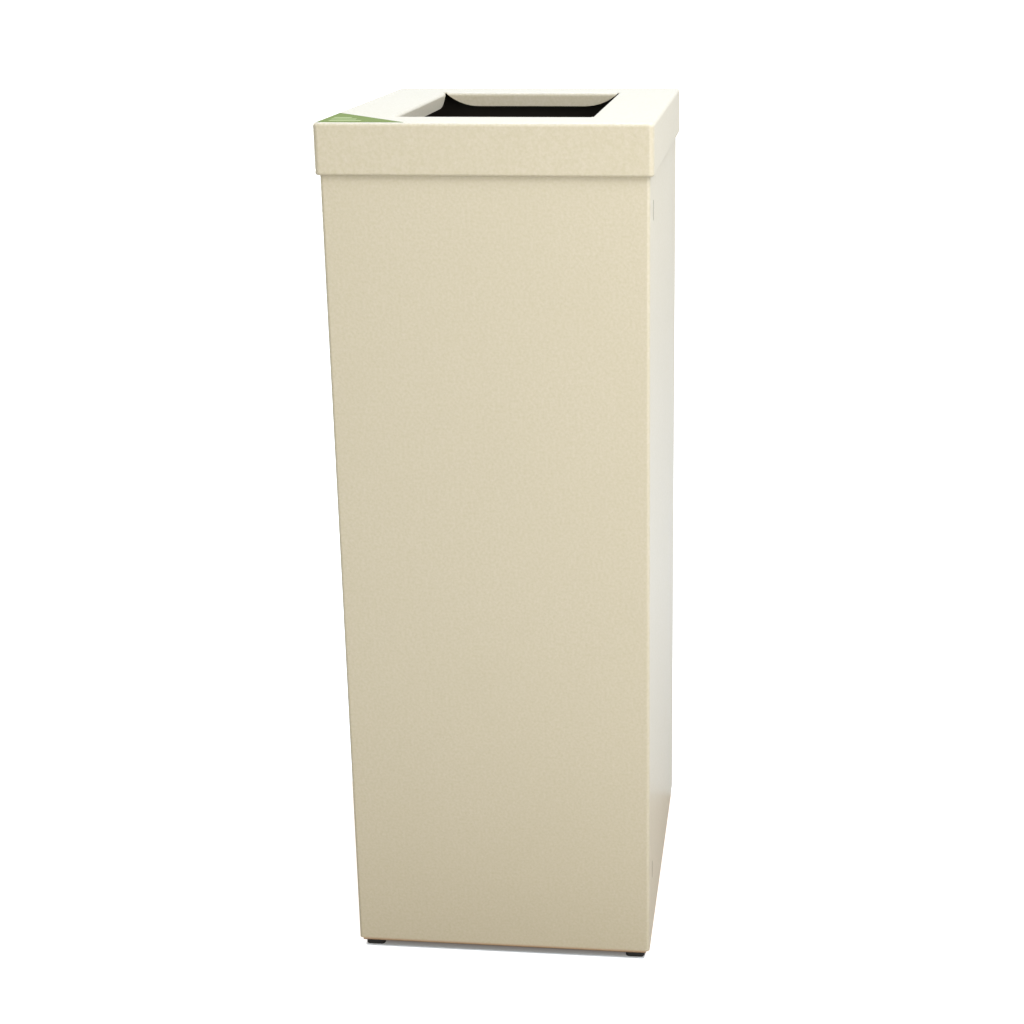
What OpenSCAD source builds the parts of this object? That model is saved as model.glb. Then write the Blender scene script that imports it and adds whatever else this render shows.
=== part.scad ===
// Tall sheet-steel waste bin with a lift-off cap lid and a hanging inner liner.
// Frame: +Z up, front faces -Y, origin on the floor under the centre of the bin.

/* [Body] */
// Width of the body across its front, outside
body_w = 280; // [250:5:340]
// Depth of the body, front to back, outside
body_d = 350; // [310:5:420]
// Height from the floor to the top of the lid
total_h = 784; // [600:1:900]
// Thickness of the body's steel sheet
sheet = 0.8; // [0.6:0.1:1.2]
// Outer radius of the body's folds
fold_r = 3; // [2:0.25:4]
// Width of the inward fold round the mouth
top_return = 12; // [10:1:16]
// Width of the inward fold round the base
bottom_return = 30; // [28:1:40]
// Width of the side walls' folds behind the back panel
rear_return = 18; // [14:1:25]
// Width of the forward folds down both sides of the back panel
panel_flange = 14; // [10:1:20]
// Slit left where two folds butt at a corner
butt_gap = 0.6; // [0.4:0.1:1]
// Space between two sheets that are spot-welded together
weld_gap = 0.1; // [0.05:0.05:0.2]
// How far the relief notch at each lower front corner runs past the upright fold, across the front
notch_w = 0.5; // [0.25:0.25:2]
// How far the notch runs past the upright fold, along the side wall
notch_d = 2.5; // [0.25:0.25:4]
// How far the notch runs past the lower fold, upward
notch_h = 0.25; // [0.25:0.25:4]

/* [Joining slots] */
// Length of each slot in the side walls
slot_l = 18; // [12:1:30]
// Width of each slot
slot_w = 4; // [2:0.5:6]
// From the front face to the middle of a slot
slot_setback = 38; // [25:1:60]
// From the lid's lower edge down to the middle of the upper slots
slot_drop = 33; // [25:1:80]
// From the body's lower edge up to the middle of the lower slots
slot_rise = 69.5; // [40:0.5:100]

/* [Floor pan] */
// Thickness of the pan's sheet
pan_sheet = 1; // [0.8:0.1:1.5]
// Height of the pan's upturned flanges
pan_flange = 15; // [10:1:25]
// Height of the pressed stiffening swages
swage_h = 3; // [2:0.5:4]
// Width of each swage where it leaves the floor
swage_w = 16; // [12:1:24]

/* [Feet] */
// Gap between the floor and the body's lower edge
foot_h = 6; // [6:0.5:12]
// Width of each foot, the same both ways
foot_w = 18; // [14:1:22]
// Radius of a foot's upright corners
foot_r = 4; // [2:0.5:6]
// From the body's outer faces to the middle of a foot
foot_inset = 14; // [14:0.5:18]

/* [Foot fasteners] */
// Diameter of the screw's shank
screw_d = 5; // [4:0.5:6]
// Diameter of the screw's pan head
head_d = 9.5; // [8:0.5:11]
// Height of the screw's head
head_h = 2.8; // [2:0.2:3.4]
// Clearance round the shank where it passes through
screw_clear = 0.25; // [0.15:0.05:0.5]
// Across-flats size of the nut
nut_af = 8; // [7:0.5:10]
// Height of the nut, with its flange
nut_h = 5; // [4:0.5:6]

/* [Lid] */
// Thickness of the lid's sheet
lid_sheet = 1; // [0.8:0.1:1.2]
// Depth of the lid's skirt
lid_skirt = 44; // [30:1:60]
// Outer radius of the lid's upright corners
lid_corner_r = 4.5; // [4:0.5:5.5]
// Outer radius of the folds round the lid's top
lid_fold_r = 3; // [2.5:0.25:3.5]
// Outer radius of the lip that turns inward along the skirt's lower edge
lip_r = 2.25; // [1.75:0.25:3]
// Clearance between the lip and the body, where a bag's edge is tucked
lip_clear = 1.75; // [1:0.25:3]

/* [Opening] */
// Width of the opening between its flanges
open_w = 172; // [120:4:192]
// Depth of the opening, front to back
open_d = 246; // [150:2:252]
// How far the opening's flanges turn down below the lid's top
flange_drop = 13; // [8:1:16]
// Length over which each flange's end sweeps up to its corner
flange_sweep = 32; // [15:1:38]
// Outer radius of the fold at the opening's edge
flange_r = 3; // [2:0.5:4]
// Slit left between the ends of a flange and the lid's plate
flange_slit = 0.8; // [0.5:0.1:1.2]

/* [Corner label] */
// Leg of the triangle along the front edge
label_x = 74; // [40:1:85]
// Leg of the triangle along the side edge
label_y = 82; // [40:1:95]
// Bare strip left between the label and the lid's rounded edges
label_inset = 0.5; // [0.5:0.5:4]
// Thickness of the label's film
label_t = 0.2; // [0.1:0.05:0.4]

/* [Liner] */
// Wall thickness of the moulded liner
liner_wall = 2; // [1.5:0.25:3]
// Thickness of the rim that hangs on the body's mouth
rim_t = 2.5; // [2:0.5:4]
// Width of the rim outside the liner's wall
rim_w = 10; // [7:0.5:11]
// Clearance between the liner and the body's mouth
liner_clear = 1.5; // [1:0.5:3]
// Inward lean of each wall from top to bottom, for lifting out of the mould
liner_draft = 8; // [4:1:14]
// Radius of the liner's upright corners at the mouth
liner_corner_r = 20; // [12:1:30]
// Height of the liner's underside above the floor pan
liner_lift = 15; // [10:1:30]
// Height of the skids moulded under the liner's base
skid_h = 4; // [2:0.5:6]
// Length of each hand hole
grip_l = 95; // [80:1:120]
// Height of each hand hole
grip_h = 28; // [22:1:36]
// From the rim down to the middle of the hand holes
grip_drop = 48; // [35:1:80]
// Width of the raised collar round each hand hole
grip_collar = 5; // [3:0.5:8]

/* [Hidden] */
PAINT = "#d6cdb4";
ZINC = "#b8b9b6";
$fn = 48;
HULL_FN = 32;
CUT = 1;                                       // how far a cutting solid runs past what it cuts
PAN_R = 5;                                     // outer radius of the pan's folds and corners
SWAGE_X = 60;                                  // from the middle to each swage
SWAGE_END = 45;                                // from the pan's front and rear edges to a swage's end
SEAT_T = 2.2;                                  // rubber left between a screw's head and the body
HEAD_CLEAR = 0.5;                              // space round a screw's head in its foot
THREAD_GAP = 0.05;                             // between a screw's shank and its nut
TIP = 1;                                       // how far a screw stands out of its nut
NUT_FLANGE_T = 1;
NUT_FLANGE_OUT = 1.4;                          // how far the nut's flange stands out past its corners
COLLAR_T = 4;                                  // depth of a hand hole's collar
SKID_W = 8;
SLICE = 0.01;                                  // thickness of the slices that hulls are drawn over
LIP_END = 0.5;                                 // how far the lid's lip ends short of its quarter turn
FLANGE_END = 1.2;                              // what is left of an opening flange's height at its corners
body_top = total_h - lid_sheet - rim_t;        // upper face of the folds round the mouth
body_h = body_top - foot_h;
lip_w = lip_r - LIP_END;                       // from the lid's outside to the lip's edge
lid_w = body_w + 2 * (lip_w + lip_clear);
lid_d = body_d + 2 * (lip_w + lip_clear);
skirt_z = total_h - lid_skirt;                 // lower edge of the lid's skirt
pan_z = foot_h + sheet + weld_gap;             // underside of the floor pan
pan_w = body_w - 2 * (sheet + weld_gap);
panel_y = body_d / 2 - sheet - weld_gap;       // back panel's outer face
pan_back = panel_y - sheet - weld_gap;
mouth_w = body_w - 2 * top_return;
mouth_d = body_d - 2 * top_return;
liner_w = mouth_w - 2 * liner_clear;           // liner's outside at the rim
liner_d = mouth_d - 2 * liner_clear;
liner_z = pan_z + pan_sheet + liner_lift;      // underside of the liner's base
foot_x = body_w / 2 - foot_inset;
foot_y = body_d / 2 - foot_inset;
nut_z = pan_z + pan_sheet;

// A rectangle with its middle at the origin and round corners
module round_rect(w, d, r) {
    square([w - 2 * r, d], center = true);
    square([w, d - 2 * r], center = true);
    for (x = [-1, 1], y = [-1, 1])
        translate([x * (w / 2 - r), y * (d / 2 - r)]) circle(r);
}

// Half of a box's section at its rim: rounded outside by r_top above and r_base below
module rim_section(r, h, r_top, r_base) {
    intersection() {
        square([r, h]);
        union() {
            translate([-CUT, r_base]) square([r + CUT, h - r_top - r_base]);
            translate([-CUT, 0]) square([r - r_base + CUT, h / 2]);
            translate([-CUT, h / 2]) square([r - r_top + CUT, h / 2]);
            translate([r - r_base, r_base]) circle(r_base);
            translate([r - r_top, h - r_top]) circle(r_top);
        }
    }
}

// A box with its base at z = 0, upright corners of radius r and rounded top and base edges
module soft_box(w, d, h, r, r_top, r_base) {
    translate([0, 0, h / 2]) cube([w - 2 * r, d - 2 * r, h], center = true);
    for (x = [-1, 1], y = [-1, 1])
        translate([x * (w / 2 - r), y * (d / 2 - r), 0]) rotate_extrude()
            rim_section(r, h, r_top, r_base);
    for (turn = [0, 180]) rotate(turn) {
        translate([0, d / 2 - r, 0]) rotate([90, 0, 90])
            linear_extrude(w - 2 * r, center = true) rim_section(r, h, r_top, r_base);
        rotate(-90) translate([0, w / 2 - r, 0]) rotate([90, 0, 90])
            linear_extrude(d - 2 * r, center = true) rim_section(r, h, r_top, r_base);
    }
}

// A hollow box of sheet t: the outside less the same box one sheet smaller
module sheet_box(w, d, h, r, r_top, r_base, t) {
    difference() {
        soft_box(w, d, h, r, r_top, r_base);
        translate([0, 0, t])
            soft_box(w - 2 * t, d - 2 * t, h - 2 * t, r - t, r_top - t, r_base - t);
    }
}

// A slot through both side walls, upright, with its middle at the given height
module side_slot(z) {
    translate([0, slot_setback - body_d / 2, z]) rotate([0, 90, 0]) {
        for (end = [-1, 1])
            translate([end * (slot_l - slot_w) / 2, 0, 0])
                cylinder(d = slot_w, h = body_w + 2 * CUT, center = true);
        cube([slot_l - slot_w, slot_w, body_w + 2 * CUT], center = true);
    }
}

module at_feet() {
    for (x = [-1, 1], y = [-1, 1]) translate([x * foot_x, y * foot_y, 0]) children();
}

module screw_holes(z, h) {
    at_feet() translate([0, 0, z - CUT])
        cylinder(d = screw_d + 2 * screw_clear, h = h + 2 * CUT);
}

// Slits where the front wall's fold butts against the side walls' folds
module butt_slits(fold_w, z) {
    for (x = [-1, 1])
        translate([x * (body_w - fold_w - fold_r) / 2, fold_w - body_d / 2 + butt_gap / 2, z + sheet / 2])
            cube([fold_w - fold_r + 2 * CUT, butt_gap, sheet + 2 * CUT], center = true);
}

// Relief notches at the lower front corners, where three folds meet
module corner_notches() {
    for (x = [-1, 1])
        translate([x * body_w / 2, -body_d / 2, foot_h])
            cube([2 * (fold_r + notch_w), 2 * (fold_r + notch_d), 2 * (fold_r + notch_h)], center = true);
}

// Front and side walls folded from one sheet, with folds at the mouth, the base and the rear
module body_wrap() {
    rear_w = body_w - 2 * rear_return;
    inside_w = body_w - 2 * sheet;
    color(PAINT) difference() {
        translate([0, 0, foot_h]) sheet_box(body_w, body_d, body_h, fold_r, fold_r, fold_r, sheet);
        // the mouth, open above, and the base, open below
        translate([-mouth_w / 2, -mouth_d / 2, body_top - sheet - CUT])
            cube([mouth_w, body_d, sheet + 2 * CUT]);
        translate([bottom_return - body_w / 2, bottom_return - body_d / 2, foot_h - CUT])
            cube([body_w - 2 * bottom_return, body_d, sheet + 2 * CUT]);
        // the rear window between the two upright folds
        translate([-rear_w / 2, body_d / 2 - sheet - CUT, foot_h - CUT])
            cube([rear_w, sheet + 2 * CUT, body_h + 2 * CUT]);
        // the folds at the mouth and the base stop short of the back panel's own folds
        translate([-inside_w / 2, body_d / 2 - top_return - butt_gap, body_top - fold_r])
            cube([inside_w, top_return + butt_gap - sheet, fold_r + CUT]);
        translate([-inside_w / 2, body_d / 2 - bottom_return - butt_gap, foot_h - CUT])
            cube([inside_w, bottom_return + butt_gap - sheet, fold_r + CUT]);
        butt_slits(bottom_return, foot_h);
        butt_slits(top_return, body_top - sheet);
        corner_notches();
        side_slot(skirt_z - slot_drop);
        side_slot(foot_h + slot_rise);
        screw_holes(foot_h, sheet);
    }
}

// Rear wall: a flat sheet folded forward at its sides, top and base, inside the wrap's rear folds
module back_panel() {
    box_d = 4 * bottom_return;
    color(PAINT) difference() {
        translate([0, panel_y - box_d / 2, foot_h])
            sheet_box(pan_w, box_d, body_h, fold_r, fold_r, fold_r, sheet);
        // the front of the box, up to the end of the base's fold
        translate([-body_w / 2, panel_y - box_d - CUT, foot_h - CUT])
            cube([body_w, box_d + CUT - bottom_return + body_d / 2 - panel_y, body_h + 2 * CUT]);
        // the side folds, cut back to their width above the base
        translate([-body_w / 2, body_d / 2 - bottom_return - CUT, foot_h + sheet])
            cube([body_w, bottom_return + CUT + panel_y - body_d / 2 - panel_flange, body_h - 2 * sheet]);
        // the mouth's fold, cut back to the mouth
        translate([-body_w / 2, body_d / 2 - bottom_return - CUT, body_top - fold_r])
            cube([body_w, bottom_return + CUT - top_return, fold_r + CUT]);
        // room for the floor pan's flanges
        for (x = [-1, 1])
            translate([x * body_w / 2, panel_y - fold_r - panel_flange / 2, pan_z + pan_flange / 2])
                cube([2 * fold_r, panel_flange + 2 * CUT, pan_flange + 2 * CUT], center = true);
        screw_holes(foot_h, sheet);
    }
}

// One pressed swage's section: straight sides at 45 degrees and a flat crest
module swage_section() {
    polygon([[-swage_w / 2, 0], [swage_h - swage_w / 2, swage_h], [swage_w / 2 - swage_h, swage_h],
             [swage_w / 2, 0]]);
}

module swages(z) {
    pan_d = pan_back - (sheet + weld_gap - body_d / 2);
    for (x = [-1, 1])
        translate([x * SWAGE_X, (pan_back + sheet + weld_gap - body_d / 2) / 2, z]) rotate([90, 0, 0])
            linear_extrude(pan_d - 2 * SWAGE_END, center = true) swage_section();
}

// Floor of the bin: a tray with upturned flanges, welded to the walls above their base folds
module floor_pan() {
    pan_front = sheet + weld_gap - body_d / 2;
    pan_d = pan_back - pan_front;
    color(PAINT) difference() {
        union() {
            difference() {
                translate([0, (pan_back + pan_front) / 2, pan_z])
                    sheet_box(pan_w, pan_d, 3 * pan_flange, PAN_R, PAN_R, PAN_R, pan_sheet);
                translate([-body_w / 2, -body_d / 2, pan_z + pan_flange])
                    cube([body_w, body_d, 3 * pan_flange]);
            }
            swages(pan_z + pan_sheet);
        }
        swages(pan_z - SLICE);
        screw_holes(pan_z, pan_sheet);
    }
}

// A square rubber foot with round corners, a bore for its screw and a recess for the screw's head
module foot(x, y) {
    color("#1d1c1b") translate([x * foot_x, y * foot_y, 0]) difference() {
        linear_extrude(foot_h) round_rect(foot_w, foot_w, foot_r);
        translate([0, 0, -CUT]) cylinder(d = screw_d + 2 * screw_clear, h = foot_h + 2 * CUT);
        translate([0, 0, -CUT]) cylinder(d = head_d + 2 * HEAD_CLEAR, h = foot_h - SEAT_T + CUT);
    }
}

module front_left_foot() { foot(-1, -1); }
module front_right_foot() { foot(1, -1); }
module rear_left_foot() { foot(-1, 1); }
module rear_right_foot() { foot(1, 1); }

// Pan-head screws, driven up through the feet, the body's folds and the floor pan
module foot_screws() {
    seat_z = foot_h - SEAT_T;
    recess_w = 1.2;
    color(ZINC) at_feet() difference() {
        union() {
            translate([0, 0, seat_z - head_h]) cylinder(d = head_d, h = head_h);
            translate([0, 0, seat_z]) cylinder(d = screw_d, h = nut_z + nut_h + TIP - seat_z);
        }
        for (turn = [0, 90])
            translate([0, 0, seat_z - head_h]) rotate(turn)
                cube([head_d * 0.55, recess_w, head_h], center = true);
    }
}

// Flanged nuts on the floor pan
module foot_nuts() {
    corner_d = nut_af / cos(30);
    color(ZINC) at_feet() translate([0, 0, nut_z]) difference() {
        union() {
            cylinder(d = corner_d, h = nut_h, $fn = 6);
            cylinder(d = corner_d + 2 * NUT_FLANGE_OUT, h = NUT_FLANGE_T);
        }
        translate([0, 0, -CUT]) cylinder(d = screw_d + 2 * THREAD_GAP, h = nut_h + 2 * CUT);
    }
}

// A box that leans inward to its base: its size is given at the rim
module drafted_box(inset, z0, z1) {
    rim_z = total_h - lid_sheet;
    height = rim_z - liner_z;
    hull() for (z = [z0, z1]) {
        lean = inset + liner_draft * (rim_z - z) / height;
        r = liner_corner_r - inset;
        for (x = [-1, 1], y = [-1, 1])
            translate([x * (liner_w / 2 - lean - r), y * (liner_d / 2 - lean - r), z])
                cylinder(r = r, h = SLICE, $fn = HULL_FN);
    }
}

// An upright slot shape that runs along X from x0 for the given length
module grip_slot(x0, length, grow) {
    r = grip_h / 2;
    translate([x0, 0, total_h - lid_sheet - grip_drop]) rotate([90, 0, 90])
        linear_extrude(length) {
            square([grip_l - grip_h, grip_h + 2 * grow], center = true);
            for (end = [-1, 1]) translate([end * (grip_l / 2 - r), 0]) circle(r + grow, $fn = HULL_FN);
        }
}

// Moulded inner liner that hangs by its rim from the folds round the body's mouth
module inner_liner() {
    skid_l = liner_d / 2;
    rim_z = total_h - lid_sheet - rim_t;
    color("#1f1d1a") difference() {
        union() {
            drafted_box(0, liner_z, total_h - lid_sheet - SLICE);
            translate([0, 0, rim_z]) linear_extrude(rim_t)
                round_rect(liner_w + 2 * rim_w, liner_d + 2 * rim_w, liner_corner_r + rim_w, $fn = HULL_FN);
            for (x = [-1, 1])
                translate([x * liner_w / 4 - SKID_W / 2, -skid_l / 2, liner_z - skid_h])
                    cube([SKID_W, skid_l, skid_h + liner_wall / 2]);
        }
        difference() {
            drafted_box(liner_wall, liner_z + liner_wall, total_h - lid_sheet + CUT);
            for (x = [-1, 1])
                grip_slot(x * (liner_w - COLLAR_T - liner_wall) / 2 - COLLAR_T / 2, COLLAR_T, grip_collar);
        }
        grip_slot(-liner_w, 2 * liner_w, 0);
    }
}

// One of the opening's turned-down flanges: it folds down about X, and its ends sweep up to the corners
module opening_flange(length) {
    rise = flange_drop - FLANGE_END;
    sweep_r = (flange_sweep * flange_sweep + rise * rise) / (2 * rise);
    overlap = 0.5;
    intersection() {
        rotate([90, 0, 90]) linear_extrude(length, center = true) {
            intersection() {
                translate([flange_r, -flange_r]) difference() {
                    circle(flange_r);
                    circle(flange_r - lid_sheet);
                }
                translate([0, -flange_r]) square(flange_r);
            }
            translate([flange_r, -lid_sheet]) square([overlap, lid_sheet]);
            translate([0, -flange_drop]) square([lid_sheet, flange_drop - flange_r]);
        }
        rotate([90, 0, 0]) linear_extrude(4 * flange_r, center = true) intersection() {
            translate([0, -flange_drop / 2]) square([length, flange_drop], center = true);
            union() {
                square([length - 2 * flange_sweep, 3 * flange_drop], center = true);
                for (end = [-1, 1])
                    translate([end * (length / 2 - flange_sweep), sweep_r - flange_drop]) circle(sweep_r);
            }
        }
    }
}

// Lift-off cap: a sheet lid with a skirt and lip, and an opening edged by turned-down flanges
module lid_cap() {
    color(PAINT) translate([0, 0, total_h]) {
        difference() {
            translate([0, 0, -lid_skirt])
                sheet_box(lid_w, lid_d, lid_skirt, lid_corner_r, lid_fold_r, lip_r, lid_sheet);
            // open below, inside the lip
            translate([0, 0, -lid_skirt - CUT]) linear_extrude(lip_r + CUT)
                round_rect(lid_w - 2 * lip_w, lid_d - 2 * lip_w, lid_corner_r - lip_w);
            // the opening and the room for its folds, with the plate left whole at the corners
            cube([open_w + 2 * flange_r, open_d, 4 * lid_sheet], center = true);
            cube([open_w, open_d + 2 * flange_r, 4 * lid_sheet], center = true);
        }
        for (turn = [0, 180]) rotate(turn) {
            translate([0, open_d / 2, 0]) opening_flange(open_w - 2 * flange_slit);
            rotate(-90) translate([0, open_w / 2, 0]) opening_flange(open_d - 2 * flange_slit);
        }
    }
}

// Thin triangular film label in the lid's front left corner
module corner_label() {
    inset = lid_fold_r + label_inset;
    color("#86ab5c")
        translate([inset - lid_w / 2, inset - lid_d / 2, total_h])
            linear_extrude(label_t) polygon([[0, 0], [label_x, 0], [0, label_y]]);
}

body_wrap();
back_panel();
floor_pan();
front_left_foot();
front_right_foot();
rear_left_foot();
rear_right_foot();
foot_screws();
foot_nuts();
inner_liner();
lid_cap();
corner_label();
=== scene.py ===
"""Looks of a tall powder-coated sheet-steel waste bin with a lift-off cap lid.

Every piece is in metres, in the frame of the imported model: +Z up, the front faces -Y and the
origin is on the floor under the centre of the bin.
"""

from __future__ import annotations

import logging
import math
from dataclasses import dataclass
from enum import Enum

import bmesh
import bpy
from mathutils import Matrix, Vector


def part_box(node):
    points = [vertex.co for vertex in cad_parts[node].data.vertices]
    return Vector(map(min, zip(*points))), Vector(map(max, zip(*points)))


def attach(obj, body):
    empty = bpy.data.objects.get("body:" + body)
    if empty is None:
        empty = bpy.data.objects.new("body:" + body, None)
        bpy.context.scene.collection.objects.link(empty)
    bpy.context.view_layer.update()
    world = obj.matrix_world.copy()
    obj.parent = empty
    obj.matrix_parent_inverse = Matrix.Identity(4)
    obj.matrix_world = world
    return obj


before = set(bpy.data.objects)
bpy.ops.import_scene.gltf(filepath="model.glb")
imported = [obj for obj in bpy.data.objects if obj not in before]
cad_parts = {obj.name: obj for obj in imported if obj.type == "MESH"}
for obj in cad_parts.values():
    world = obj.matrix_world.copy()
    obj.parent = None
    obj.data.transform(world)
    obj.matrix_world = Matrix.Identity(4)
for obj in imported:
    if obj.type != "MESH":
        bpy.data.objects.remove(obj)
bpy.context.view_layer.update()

Tree = bpy.types.NodeTree
Socket = bpy.types.NodeSocket
Colour = tuple[float, float, float, float]

LOG = logging.getLogger("waste_bin")
MM = 0.001
WHITE = "#ffffff"
SRGB_KNEE = 0.04045  # level under which the sRGB curve is a straight line
SRGB_SLOPE = 12.92
SRGB_OFFSET = 0.055
SRGB_POWER = 2.4
MIX_FIRST = 6  # sockets of the node that blends two colours
MIX_SECOND = 7
MIX_RESULT = 2


class Body(Enum):
    """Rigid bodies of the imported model."""

    SHELL = "body"
    LINER = "liner"
    LID = "lid"


class Slot(Enum):
    """Material slots of the record."""

    BODY_SHEET = "body_sheet"
    LID_SHEET = "lid_sheet"
    FOOT = "foot"
    FASTENER = "fastener"
    LINER = "liner"
    LABEL = "label_film"


class Ramp(Enum):
    """Forms of the way from one value to another."""

    STRAIGHT = "LINEAR"
    SMOOTH = "SMOOTHSTEP"


def linear(code: str) -> Colour:
    """Turns an sRGB hex colour into a linear one.

    Args:
        code: Colour such as "#d6cdb4".

    Returns:
        Linear red, green, blue and an alpha of 1.
    """
    levels = []
    for start in (1, 3, 5):
        level = int(code[start : start + 2], 16) / 255
        if level <= SRGB_KNEE:
            levels.append(level / SRGB_SLOPE)
        else:
            levels.append(((level + SRGB_OFFSET) / (1 + SRGB_OFFSET)) ** SRGB_POWER)
    return (*levels, 1.0)


def metres(*lengths_mm: float) -> tuple[float, ...]:
    """Turns lengths in millimetres into metres."""
    return tuple(length * MM for length in lengths_mm)


def add(tree: Tree, kind: str, links: dict | None = None, **settings) -> bpy.types.Node:
    """Adds one node with its settings and its incoming links.

    Args:
        tree: Node tree that gets the node.
        kind: Blender's type name of the node.
        links: Input name or index to the output socket that feeds it, or to a plain value.
        settings: Properties of the node itself.

    Returns:
        The new node.
    """
    node = tree.nodes.new(kind)
    for name, value in settings.items():
        setattr(node, name, value)
    for name, source in (links or {}).items():
        if isinstance(source, Socket):
            tree.links.new(source, node.inputs[name])
        else:
            node.inputs[name].default_value = source
    return node


def blend(tree: Tree, share: Socket, first: Socket | Colour, second: Socket | Colour) -> Socket:
    """Blends two colours.

    Args:
        tree: Node tree that gets the node.
        share: How much of the second colour there is, from 0 to 1.
        first: Colour at a share of 0.
        second: Colour at a share of 1.

    Returns:
        Socket of the blended colour.
    """
    links = {0: share, MIX_FIRST: first, MIX_SECOND: second}
    return add(tree, "ShaderNodeMix", links, data_type="RGBA").outputs[MIX_RESULT]


def ramp(tree: Tree, value: Socket, span: tuple[float, float], ends: tuple[float, float],
         form: Ramp = Ramp.STRAIGHT) -> Socket:
    """Leads from one result to another while a value crosses a span.

    Args:
        tree: Node tree that gets the node.
        value: Socket of the value.
        span: Values at which the ramp starts and ends.
        ends: Results there, which also hold before the start and past the end.
        form: Form of the ramp.

    Returns:
        Socket of the result.
    """
    links = {"Value": value, 1: span[0], 2: span[1], 3: ends[0], 4: ends[1]}
    return add(tree, "ShaderNodeMapRange", links, interpolation_type=form.value).outputs[0]


def calc(tree: Tree, operation: str, *terms: Socket | float) -> Socket:
    """Works out one step of arithmetic on numbers.

    Args:
        tree: Node tree that gets the node.
        operation: Blender's name of the step.
        terms: Its terms, in order.

    Returns:
        Socket of the result.
    """
    return add(tree, "ShaderNodeMath", dict(enumerate(terms)), operation=operation).outputs[0]


def calc_vector(tree: Tree, operation: str, *terms: Socket | tuple[float, ...]) -> Socket:
    """Works out one step of arithmetic on vectors, with (0, 0, 0) for a term that isn't given.

    Args:
        tree: Node tree that gets the node.
        operation: Blender's name of the step.
        terms: Its terms, in order.

    Returns:
        Socket of the result, which is a vector.
    """
    return add(tree, "ShaderNodeVectorMath", dict(enumerate(terms)), operation=operation).outputs["Vector"]


def length_of(tree: Tree, vector: Socket) -> Socket:
    """Measures a vector and returns the socket of its length."""
    return add(tree, "ShaderNodeVectorMath", {0: vector}, operation="LENGTH").outputs["Value"]


def noise(tree: Tree, place: Socket, width_mm: float, detail: float) -> Socket:
    """Draws a soft, uneven pattern.

    Args:
        tree: Node tree that gets the node.
        place: Socket of the position.
        width_mm: Width of the pattern's coarsest blotches.
        detail: Number of finer layers on top of them.

    Returns:
        Socket of the pattern, from 0 to 1.
    """
    links = {"Vector": place, "Scale": 1 / (width_mm * MM), "Detail": detail}
    return add(tree, "ShaderNodeTexNoise", links).outputs["Fac"]


def bump(tree: Tree, height: Socket, depth_mm: float) -> Socket:
    """Turns a pattern into relief.

    Args:
        tree: Node tree that gets the node.
        height: Socket of the pattern.
        depth_mm: Height of the relief where the pattern is 1.

    Returns:
        Socket of the surface's tilted normal.
    """
    links = {"Height": height, "Strength": 1.0, "Distance": depth_mm * MM}
    return add(tree, "ShaderNodeBump", links).outputs[0]


def new_material(name: str) -> tuple[bpy.types.Material, Tree, bpy.types.Node]:
    """Makes an empty node material.

    Args:
        name: Name of the material.

    Returns:
        The material, its node tree and its output node.
    """
    material = bpy.data.materials.new(name)
    material.use_nodes = True
    tree = material.node_tree
    tree.nodes.clear()
    return material, tree, add(tree, "ShaderNodeOutputMaterial")


def put_in_scene(name: str, data: bpy.types.ID) -> bpy.types.Object:
    """Makes an object of a mesh, lamp or camera and puts it in the scene.

    Args:
        name: Name of the object.
        data: The mesh, lamp or camera.

    Returns:
        The new object.
    """
    obj = bpy.data.objects.new(name, data)
    bpy.context.scene.collection.objects.link(obj)
    return obj


def mesh_piece(name: str, mesh: bmesh.types.BMesh) -> bpy.types.Object:
    """Turns a bmesh into an object of the scene.

    Args:
        name: Name of the piece.
        mesh: The geometry, which is freed.

    Returns:
        The new object, with smooth faces.
    """
    data = bpy.data.meshes.new(name)
    mesh.to_mesh(data)
    mesh.free()
    data.polygons.foreach_set("use_smooth", [True] * len(data.polygons))
    return put_in_scene(name, data)


def dress(obj: bpy.types.Object, material: bpy.types.Material) -> None:
    """Gives an object one material in place of those it has."""
    obj.data.materials.clear()
    obj.data.materials.append(material)


def report(piece: str, body: Body, slot: Slot) -> None:
    """Logs one piece with its body and slot."""
    LOG.info("%s rides on %s and takes its finish from %s", piece, body.value, slot.value)


def dress_nodes(nodes: tuple[str, ...], material: bpy.types.Material, body: Body, slot: Slot) -> None:
    """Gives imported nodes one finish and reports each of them.

    Args:
        nodes: Names of the nodes.
        material: Their finish.
        body: Body that carries them.
        slot: Material slot that the record gives them.
    """
    for node in nodes:
        dress(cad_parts[node], material)
        report(node, body, slot)


@dataclass(frozen=True)
class Finish:
    """One finish, drawn in the coordinates of the object that wears it."""

    name: str

    def skin(self, tree: Tree, place: Socket) -> dict[str, Socket | Colour | float]:
        """Draws the patterns of the finish.

        Args:
            tree: The material's tree.
            place: Position on the object.

        Returns:
            Inputs of the surface shader, by name.
        """
        raise NotImplementedError

    def build(self) -> bpy.types.Material:
        """Builds the material.

        Returns:
            The material, which any piece can wear.
        """
        material, tree, out = new_material(self.name)
        place = add(tree, "ShaderNodeTexCoord").outputs["Object"]
        shader = add(tree, "ShaderNodeBsdfPrincipled", self.skin(tree, place))
        tree.links.new(shader.outputs[0], out.inputs[0])
        return material


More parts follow.
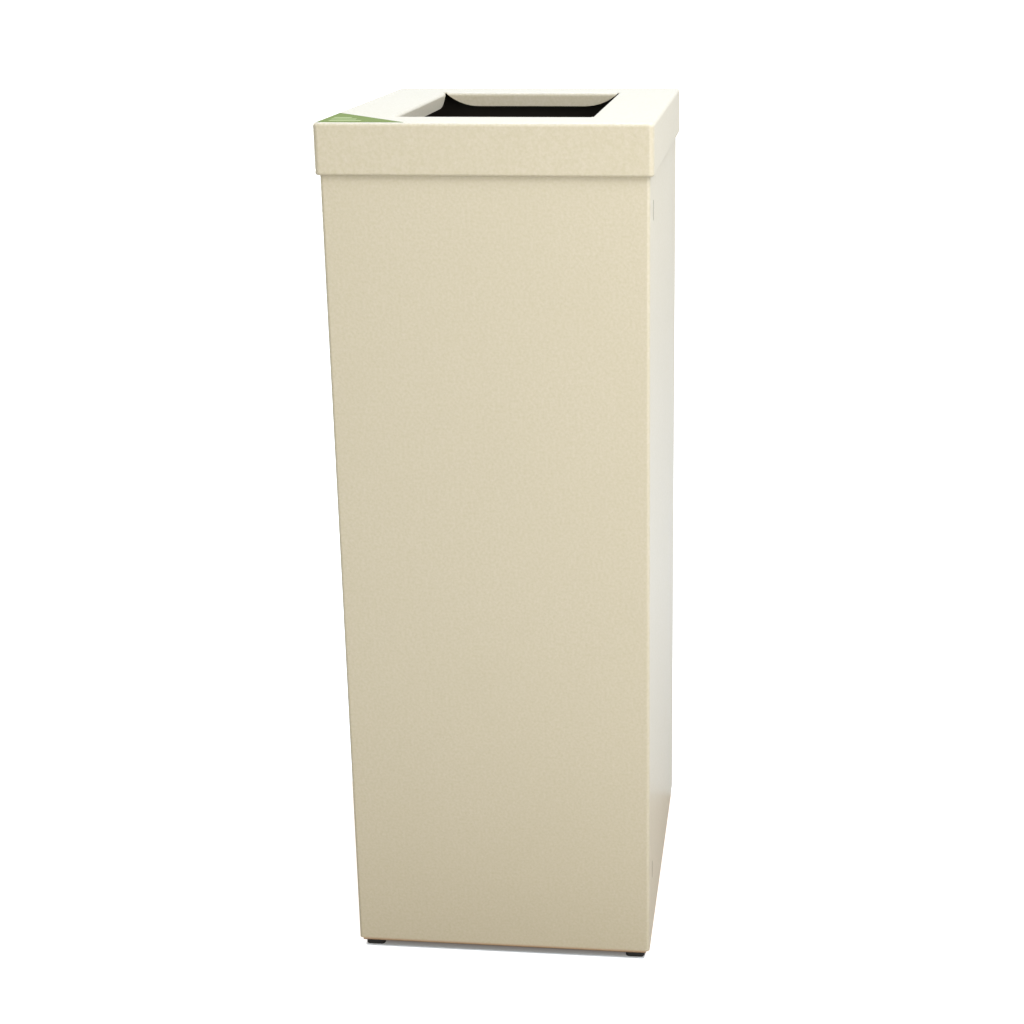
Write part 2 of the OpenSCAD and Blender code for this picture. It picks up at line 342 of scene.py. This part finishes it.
@dataclass(frozen=True)
class PowderCoatedSteel(Finish):
    """Polyester powder baked on to steel sheet, sprayed and cured.

    The eye sees a satin skin with a fine, shallow orange peel, slightly uneven in tone. Painted
    warm shade fades up from the lower edge over a darker painted shade on the bottom fold, and
    painted shade darkens the rims of the joining slots.
    """

    name: str = "powder_coated_steel_beige"
    roughness: float = 0.36
    ior: float = 1.5
    pale_colour: str = "#e2d8c6"
    deep_colour: str = "#cdc4a3"
    peel_mm: float = 2.4  # real peel is about 1 mm wide, drawn coarser so that a pixel can hold it
    peel_detail: float = 1.0
    peel_depth_mm: float = 0.09
    cloud_colour: str = "#d3caae"
    cloud_share: float = 0.35
    cloud_mm: float = 70.0
    cloud_detail: float = 3.0
    # painted warm shade along the lower edge of the body
    low_shade_colour: str = "#b98655"
    low_shade_share: float = 0.75
    low_shade_span_mm: tuple[float, float] = (7.6, 11.0)  # heights between which the painted warm shade fades out
    # painted shade, darker, on the very bottom fold
    bottom_shade_colour: str = "#4a2c14"
    bottom_shade_share: float = 0.9
    bottom_shade_span_mm: tuple[float, float] = (6.6, 8.0)  # heights between which the darker painted shade on the bottom fold fades out
    # painted shade round the joining slots
    slot_shade_colour: str = "#54442f"
    slot_shade_share: float = 0.62
    slot_y_mm: float = -137.0
    slot_heights_mm: tuple[float, float] = (75.5, 707.0)  # middles of a side's two joining slots
    slot_half_mm: float = 7.0  # half the length of a slot's straight sides
    slot_r_mm: float = 2.05  # half the width of a slot, and a little more
    slot_rim_mm: float = 0.4  # width over which the painted shade round a slot fades out
    slot_reach_mm: float = 1000.0  # more than the bin's width, so that both sides have their slots

    def skin(self, tree: Tree, place: Socket) -> dict[str, Socket | Colour | float]:
        """Draws the peel, the clouds, the grime and the dark edges.

        Args:
            tree: The material's tree.
            place: Position on the object.

        Returns:
            Inputs of the surface shader, by name.
        """
        peel = noise(tree, place, self.peel_mm, self.peel_detail)
        grain = blend(tree, peel, linear(self.deep_colour), linear(self.pale_colour))
        cloud = noise(tree, place, self.cloud_mm, self.cloud_detail)
        cloud_share = calc(tree, "MULTIPLY", cloud, self.cloud_share)
        tone = blend(tree, cloud_share, grain, linear(self.cloud_colour))
        height = add(tree, "ShaderNodeSeparateXYZ", {0: place}).outputs["Z"]
        # painted warm shade up from the lower edge, then a darker painted shade on the bottom fold
        low_shade = ramp(tree, height, metres(*self.low_shade_span_mm), (self.low_shade_share, 0.0), Ramp.SMOOTH)
        low_shaded = blend(tree, low_shade, tone, linear(self.low_shade_colour))
        edge = ramp(tree, height, metres(*self.bottom_shade_span_mm), (self.bottom_shade_share, 0.0), Ramp.SMOOTH)
        paint = blend(tree, edge, low_shaded, linear(self.bottom_shade_colour))
        # painted shade round the joining slots
        slot_shading = self._slot_shade_mask(tree, place)
        return {
            "Base Color": blend(tree, slot_shading, paint, linear(self.slot_shade_colour)),
            "Roughness": self.roughness,
            "IOR": self.ior,
            "Normal": bump(tree, peel, self.peel_depth_mm),
        }

    def _slot_shade_mask(self, tree: Tree, place: Socket) -> Socket:
        """Paints shade round the joining slots, by the distance from their middle lines.

        Args:
            tree: The material's tree.
            place: Position on the object.

        Returns:
            Socket that is highest at the slots and 0 away from them.
        """
        low, high = self.slot_heights_mm
        middle = metres(0.0, self.slot_y_mm, (low + high) / 2)
        beside = calc_vector(tree, "ABSOLUTE", calc_vector(tree, "SUBTRACT", place, middle))
        apart = metres(0.0, 0.0, (high - low) / 2)
        from_slot = calc_vector(tree, "ABSOLUTE", calc_vector(tree, "SUBTRACT", beside, apart))
        line = metres(self.slot_reach_mm, 0.0, self.slot_half_mm)
        past_line = calc_vector(tree, "MAXIMUM", calc_vector(tree, "SUBTRACT", from_slot, line))
        span = metres(self.slot_r_mm, self.slot_r_mm + self.slot_rim_mm)
        return ramp(tree, length_of(tree, past_line), span, (self.slot_shade_share, 0.0), Ramp.SMOOTH)


@dataclass(frozen=True)
class MouldedPolypropylene(Finish):
    """Black polypropylene, injection moulded in a spark-eroded mould.

    The eye sees a matt, faintly grained skin, a black with a little brown in it.
    """

    name: str = "moulded_polypropylene_black"
    colour: str = "#322b1e"
    roughness: float = 0.55
    ior: float = 1.49
    grain_mm: float = 1.5  # the mould's real grain is about 0.3 mm, drawn coarser so that a pixel can hold it
    grain_detail: float = 2.0
    grain_depth_mm: float = 0.04

    def skin(self, tree: Tree, place: Socket) -> dict[str, Socket | Colour | float]:
        """Draws the grain of the mould.

        Args:
            tree: The material's tree.
            place: Position on the object.

        Returns:
            Inputs of the surface shader, by name.
        """
        grain = noise(tree, place, self.grain_mm, self.grain_detail)
        return {
            "Base Color": linear(self.colour),
            "Roughness": self.roughness,
            "IOR": self.ior,
            "Normal": bump(tree, grain, self.grain_depth_mm),
        }


@dataclass(frozen=True)
class MouldedRubber(Finish):
    """Black styrene rubber, compression moulded.

    The eye sees a dull, dusty black with hardly any gloss.
    """

    name: str = "moulded_rubber_black"
    colour: str = "#0c0b0b"
    roughness: float = 0.75
    ior: float = 1.52
    dust_colour: str = "#1a1816"
    dust_mm: float = 6.0
    dust_detail: float = 4.0

    def skin(self, tree: Tree, place: Socket) -> dict[str, Socket | Colour | float]:
        """Draws the dust on the rubber.

        Args:
            tree: The material's tree.
            place: Position on the object.

        Returns:
            Inputs of the surface shader, by name.
        """
        dust = noise(tree, place, self.dust_mm, self.dust_detail)
        return {
            "Base Color": blend(tree, dust, linear(self.colour), linear(self.dust_colour)),
            "Roughness": self.roughness,
            "IOR": self.ior,
        }


@dataclass(frozen=True)
class ZincPlatedSteel(Finish):
    """Steel, cold headed and electroplated with clear passivated zinc.

    The eye sees a soft grey metal with a faint blue and straw bloom.
    """

    name: str = "zinc_plated_steel"
    colour: str = "#c3c6c8"
    metallic: float = 1.0
    roughness: float = 0.34
    bloom_colour: str = "#cfc9b4"
    bloom_mm: float = 4.0
    bloom_detail: float = 2.0

    def skin(self, tree: Tree, place: Socket) -> dict[str, Socket | Colour | float]:
        """Draws the bloom of the plating.

        Args:
            tree: The material's tree.
            place: Position on the object.

        Returns:
            Inputs of the surface shader, by name.
        """
        bloom = noise(tree, place, self.bloom_mm, self.bloom_detail)
        return {
            "Base Color": blend(tree, bloom, linear(self.colour), linear(self.bloom_colour)),
            "Metallic": self.metallic,
            "Roughness": self.roughness,
        }


@dataclass(frozen=True)
class PrintedVinylFilm(Finish):
    """Calendered vinyl film, screen printed with plain pale bars.

    The eye sees a flat satin green with a few soft, slightly paler strokes in its wide half.
    """

    name: str = "printed_vinyl_film_green"
    colour: str = "#66790e"
    roughness: float = 0.6
    ior: float = 1.4
    mottle_colour: str = "#5d6f0c"
    mottle_mm: float = 9.0
    mottle_detail: float = 3.0
    ink_colour: str = "#bfc98f"
    ink_share: float = 0.6
    bars: int = 3
    first_bar_mm: tuple[float, float] = (-119.0, -162.0)  # middle of the front bar, on the lid
    bar_step_mm: tuple[float, float] = (-4.0, 13.0)  # from one bar's middle to the next one's
    bar_half_mm: float = 14.0  # half the length of the front bar
    bar_shrink_mm: float = 3.0  # how much of that half each next bar loses
    bar_high_mm: float = 7.0
    bar_edge_mm: float = 0.5  # softness of a bar's edge

    def skin(self, tree: Tree, place: Socket) -> dict[str, Socket | Colour | float]:
        """Draws the mottled film and its bars.

        Args:
            tree: The material's tree.
            place: Position on the object.

        Returns:
            Inputs of the surface shader, by name.
        """
        mottle = noise(tree, place, self.mottle_mm, self.mottle_detail)
        film = blend(tree, mottle, linear(self.colour), linear(self.mottle_colour))
        split = add(tree, "ShaderNodeSeparateXYZ", {0: place})
        marks = self._bar(tree, split, 0)
        for number in range(1, self.bars):
            marks = calc(tree, "MAXIMUM", marks, self._bar(tree, split, number))
        ink = calc(tree, "MULTIPLY", marks, self.ink_share)
        return {
            "Base Color": blend(tree, ink, film, linear(self.ink_colour)),
            "Roughness": self.roughness,
            "IOR": self.ior,
        }

    def _bar(self, tree: Tree, split: bpy.types.Node, number: int) -> Socket:
        """Makes the mask of one bar.

        Args:
            tree: The material's tree.
            split: Node that gives the place on the lid as X, Y and Z.
            number: Which bar it is, counted from the front one as 0.

        Returns:
            Socket that is 1 on the bar and 0 off it.
        """
        reaches = (self.bar_half_mm - self.bar_shrink_mm * number, self.bar_high_mm / 2)
        sides = []
        for axis, first, step, reach in zip("XY", self.first_bar_mm, self.bar_step_mm, reaches):
            off = calc(tree, "SUBTRACT", split.outputs[axis], (first + step * number) * MM)
            away = calc(tree, "ABSOLUTE", off)
            sides.append(ramp(tree, away, metres(reach - self.bar_edge_mm, reach), (1.0, 0.0)))
        return calc(tree, "MULTIPLY", *sides)


@dataclass
class FoldedBody:
    """Wrap, back panel and floor pan, with the marks of the spot welds down the rear folds."""

    nodes: tuple[str, ...] = ("body_wrap", "back_panel", "floor_pan")
    weld_pitch_mm: float = 82.0  # about, since the welds share a fold's length evenly
    weld_end_mm: float = 45.0  # from either end of a fold to its nearest weld
    weld_inset_mm: float = 9.0  # from a side wall's outer face to the welds behind it
    weld_r_mm: float = 2.6
    weld_rise_mm: float = 0.12
    weld_outer_slope_mm: float = 0.28
    weld_crest_mm: float = 0.21
    weld_inner_slope_mm: float = 0.49
    weld_sides: int = 24

    def dress(self, paint: bpy.types.Material) -> None:
        """Paints the sheet-metal nodes of the body."""
        dress_nodes(self.nodes, paint, Body.SHELL, Slot.BODY_SHEET)

    def build_welds(self, paint: bpy.types.Material) -> bpy.types.Object:
        """Builds the painted-over rims that the welding electrodes left on the rear folds.

        Args:
            paint: Finish of the body.

        Returns:
            One piece with all the weld marks.
        """
        low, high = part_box("body_wrap")
        span = high.z - low.z - 2 * self.weld_end_mm * MM
        count = round(span / (self.weld_pitch_mm * MM)) + 1
        mesh = bmesh.new()
        for side in (-1, 1):
            x = side * (high.x - self.weld_inset_mm * MM)
            for row in range(count):
                z = low.z + self.weld_end_mm * MM + span * row / (count - 1)
                self._weld(mesh, Vector((x, high.y, z)))
        piece = mesh_piece("spot_weld_marks", mesh)
        dress(piece, paint)
        return piece

    def _weld(self, mesh: bmesh.types.BMesh, middle: Vector) -> None:
        """Adds one low ring that stands on the rear fold, closed on all sides.

        Args:
            mesh: Mesh that gets the ring.
            middle: The ring's middle, on the fold's outer face.
        """
        crest_r = self.weld_r_mm - self.weld_outer_slope_mm
        inner_crest_r = crest_r - self.weld_crest_mm
        inner_r = inner_crest_r - self.weld_inner_slope_mm
        section = ((self.weld_r_mm, 0.0), (crest_r, self.weld_rise_mm),
                   (inner_crest_r, self.weld_rise_mm), (inner_r, 0.0))
        rings = []
        for radius, rise in section:
            ring = []
            for i in range(self.weld_sides):
                turn = math.tau * i / self.weld_sides
                point = Vector((radius * math.cos(turn), rise, radius * math.sin(turn)))
                ring.append(mesh.verts.new(middle + point * MM))
            rings.append(ring)
        for k, ring in enumerate(rings):
            other = rings[(k + 1) % len(rings)]
            for i in range(self.weld_sides):
                j = (i + 1) % self.weld_sides
                mesh.faces.new((ring[i], other[i], other[j], ring[j]))


@dataclass
class Feet:
    """Rubber feet with their screws and nuts."""

    feet: tuple[str, ...] = ("front_left_foot", "front_right_foot", "rear_left_foot", "rear_right_foot")
    fasteners: tuple[str, ...] = ("foot_screws", "foot_nuts")

    def dress(self, rubber: bpy.types.Material, zinc: bpy.types.Material) -> None:
        """Gives the feet and their fasteners their finishes."""
        dress_nodes(self.feet, rubber, Body.SHELL, Slot.FOOT)
        dress_nodes(self.fasteners, zinc, Body.SHELL, Slot.FASTENER)


@dataclass
class HangingLiner:
    """Black moulded liner that hangs in the mouth of the body."""

    nodes: tuple[str, ...] = ("inner_liner",)

    def dress(self, plastic: bpy.types.Material) -> None:
        """Gives the liner its finish."""
        dress_nodes(self.nodes, plastic, Body.LINER, Slot.LINER)


@dataclass
class CapLid:
    """Folded lid and the film label in its corner."""

    sheets: tuple[str, ...] = ("lid_cap",)
    labels: tuple[str, ...] = ("corner_label",)

    def dress(self, paint: bpy.types.Material, film: bpy.types.Material) -> None:
        """Gives the lid and its label their finishes."""
        dress_nodes(self.sheets, paint, Body.LID, Slot.LID_SHEET)
        dress_nodes(self.labels, film, Body.LID, Slot.LABEL)


@dataclass(frozen=True)
class Softbox:
    """One soft square studio lamp."""

    name: str
    place: tuple[float, float, float]
    aim: tuple[float, float, float]
    size: float
    power: float
    colour: str

    def build(self) -> None:
        """Builds the lamp."""
        data = bpy.data.lights.new(self.name, "AREA")
        data.shape = "SQUARE"
        data.size = self.size
        data.energy = self.power
        data.color = linear(self.colour)[:3]
        lamp = put_in_scene(self.name, data)
        lamp.location = self.place
        lamp.rotation_euler = (Vector(self.aim) - Vector(self.place)).to_track_quat("-Z", "Y").to_euler()


SOFTBOXES = (
    Softbox("overhead_softbox", place=(0.2, 0.7, 2.6), aim=(0.0, 0.0, 0.7),
            size=2.0, power=43.0, colour="#bcd4ff"),
    Softbox("right_softbox", place=(2.1, -0.8, 2.2), aim=(0.0, 0.0, 0.75),
            size=1.3, power=18.0, colour="#cfdcff"),
    Softbox("canopy_softbox", place=(0.8, -0.95, 2.2), aim=(0.0, -0.1, 0.4),
            size=1.0, power=23.0, colour="#fbfbfb"),
    Softbox("rear_softbox", place=(-1.7, 1.6, 0.9), aim=(0.0, 0.0, 0.4),
            size=1.3, power=22.0, colour=WHITE),
    Softbox("front_softbox", place=(0.95, -1.8, 0.6), aim=(0.0, -0.3, 0.0),
            size=1.3, power=15.0, colour="#fffdf8"),
)


@dataclass
class Studio:
    """White floor and surround, soft lamps, and the camera."""

    camera_mm: tuple[float, float, float] = (249.52, -1644.13, 928.61)
    camera_turn_deg: tuple[float, float, float] = (72.9805, 0.4046, 5.832)
    lens_mm: float = 62.0866
    sensor_mm: float = 36.0
    shift: tuple[float, float] = (-0.0859, -0.03125)
    clip_near_m: float = 0.05
    clip_far_m: float = 100.0
    floor_half_m: float = 40.0
    seen_floor: str = "#e6ecee"  # what the eye sees, at the edges of the bin's shadow
    deep_floor_shade: str = "#a08468"  # painted shade, browner and darker, from deep_mm inside its front and rear edges
    deep_mm: float = 9.0
    under_glow: float = 0.12  # the floor's own glow in the shadow, as a share of the plain white outside
    print_half_mm: tuple[float, float] = (133.5, 172.0)  # half the width and depth of the shadow
    print_edge_mm: float = 3.5
    felt_near: str = "#6c5c40"  # what the floor throws back beside the bin
    felt_far: str = "#bdbab4"
    felt_span_mm: tuple[float, float] = (60.0, 750.0)
    shine: tuple[float, float] = (0.45, 0.72)  # how much of the eye's floor reflections show, near and far
    shine_span_mm: tuple[float, float] = (600.0, 4000.0)
    ambient: float = 0.45
    ambient_colour: str = "#faf9f2"
    lamps: tuple[Softbox, ...] = SOFTBOXES

    def build_camera(self) -> None:
        """Builds the camera at the photograph's place and angle."""
        data = bpy.data.cameras.new("camera")
        data.lens = self.lens_mm
        data.sensor_width = self.sensor_mm
        data.shift_x, data.shift_y = self.shift
        data.clip_start = self.clip_near_m
        data.clip_end = self.clip_far_m
        camera = put_in_scene("camera", data)
        camera.location = Vector(self.camera_mm) * MM
        camera.rotation_euler = [math.radians(turn) for turn in self.camera_turn_deg]
        bpy.context.scene.camera = camera

    def build_floor(self) -> None:
        """Builds the floor, which is stage and no piece of the bin."""
        reach = self.floor_half_m
        corners = ((-reach, -reach), (reach, -reach), (reach, reach), (-reach, reach))
        mesh = bmesh.new()
        mesh.faces.new([mesh.verts.new((*corner, 0.0)) for corner in corners])
        floor = mesh_piece("studio_floor", mesh)
        dress(floor, self._floor_board())

    def _floor_board(self) -> bpy.types.Material:
        """Builds the floor's finish.

        It is white to the eye, greyer in reflections and duller in the light that it throws back.

        Returns:
            The material of the floor.
        """
        material, tree, out = new_material("matt_floor_board")
        rays = add(tree, "ShaderNodeLightPath").outputs
        place = add(tree, "ShaderNodeNewGeometry").outputs["Position"]
        beside = calc_vector(tree, "ABSOLUTE", place)
        past = calc_vector(tree, "SUBTRACT", beside, metres(*self.print_half_mm, 0.0))
        gap = length_of(tree, calc_vector(tree, "MAXIMUM", past))
        felt_share = ramp(tree, gap, metres(*self.felt_span_mm), (0.0, 1.0))
        thrown = blend(tree, felt_share, linear(self.felt_near), linear(self.felt_far))
        felt = add(tree, "ShaderNodeBsdfDiffuse", {"Color": thrown}).outputs[0]
        shine = ramp(tree, length_of(tree, place), metres(*self.shine_span_mm), self.shine)
        seen = calc(tree, "MULTIPLY_ADD", rays["Is Glossy Ray"], shine, rays["Is Camera Ray"])
        board = add(tree, "ShaderNodeMixShader", {0: seen, 1: felt, 2: self._seen_floor(tree, past, gap)})
        tree.links.new(board.outputs[0], out.inputs[0])
        return material

    def _seen_floor(self, tree: Tree, past: Socket, gap: Socket) -> Socket:
        """Keeps the bin's shadow under the bin, browns and darkens it with painted shade deeper under the
        bin, and turns plain white just outside it.

        Args:
            tree: The material's tree.
            past: How far a place is past the edges of the shadow, each way.
            gap: Its distance from the shadow.

        Returns:
            Socket of the shader that the eye sees.
        """
        glow = ramp(tree, gap, (0.0, self.print_edge_mm * MM), (self.under_glow, 1.0), Ramp.SMOOTH)
        white = add(tree, "ShaderNodeEmission", {"Color": linear(WHITE), "Strength": glow}).outputs[0]
        inside = add(tree, "ShaderNodeSeparateXYZ", {0: past}).outputs["Y"]
        # painted shade: the floor browner and darker deeper under the bin
        depth = ramp(tree, inside, (-self.deep_mm * MM, 0.0), (1.0, 0.0))
        tint = blend(tree, depth, linear(self.seen_floor), linear(self.deep_floor_shade))
        shaded = add(tree, "ShaderNodeBsdfDiffuse", {"Color": tint}).outputs[0]
        return add(tree, "ShaderNodeAddShader", {0: white, 1: shaded}).outputs[0]

    def build_world(self) -> None:
        """Builds the surround: plain white to the eye and in reflections, softer as a light."""
        world = bpy.data.worlds.new("studio")
        bpy.context.scene.world = world
        world.use_nodes = True
        tree = world.node_tree
        tree.nodes.clear()
        rays = add(tree, "ShaderNodeLightPath").outputs
        seen = calc(tree, "MAXIMUM", rays["Is Camera Ray"], rays["Is Glossy Ray"])
        light = {"Color": linear(self.ambient_colour), "Strength": self.ambient}
        dim = add(tree, "ShaderNodeBackground", light).outputs[0]
        white = add(tree, "ShaderNodeBackground", {"Color": linear(WHITE), "Strength": 1.0}).outputs[0]
        shown = add(tree, "ShaderNodeMixShader", {0: seen, 1: dim, 2: white}).outputs[0]
        add(tree, "ShaderNodeOutputWorld", {0: shown})

    def build(self) -> None:
        """Builds the whole studio and sets how the picture is shown."""
        self.build_camera()
        self.build_floor()
        self.build_world()
        for lamp in self.lamps:
            lamp.build()
        bpy.context.scene.view_settings.view_transform = "Standard"


def main() -> None:
    """Builds and dresses the bin, sub-assembly by sub-assembly, and then its studio."""
    logging.basicConfig(level=logging.INFO, format="%(name)s: %(message)s")
    steel = PowderCoatedSteel().build()
    shell = FoldedBody()
    shell.dress(steel)
    welds = shell.build_welds(steel)
    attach(welds, Body.SHELL.value)
    report(welds.name, Body.SHELL, Slot.BODY_SHEET)
    Feet().dress(MouldedRubber().build(), ZincPlatedSteel().build())
    HangingLiner().dress(MouldedPolypropylene().build())
    CapLid().dress(steel, PrintedVinylFilm().build())
    Studio().build()


if __name__ == "__main__":
    main()
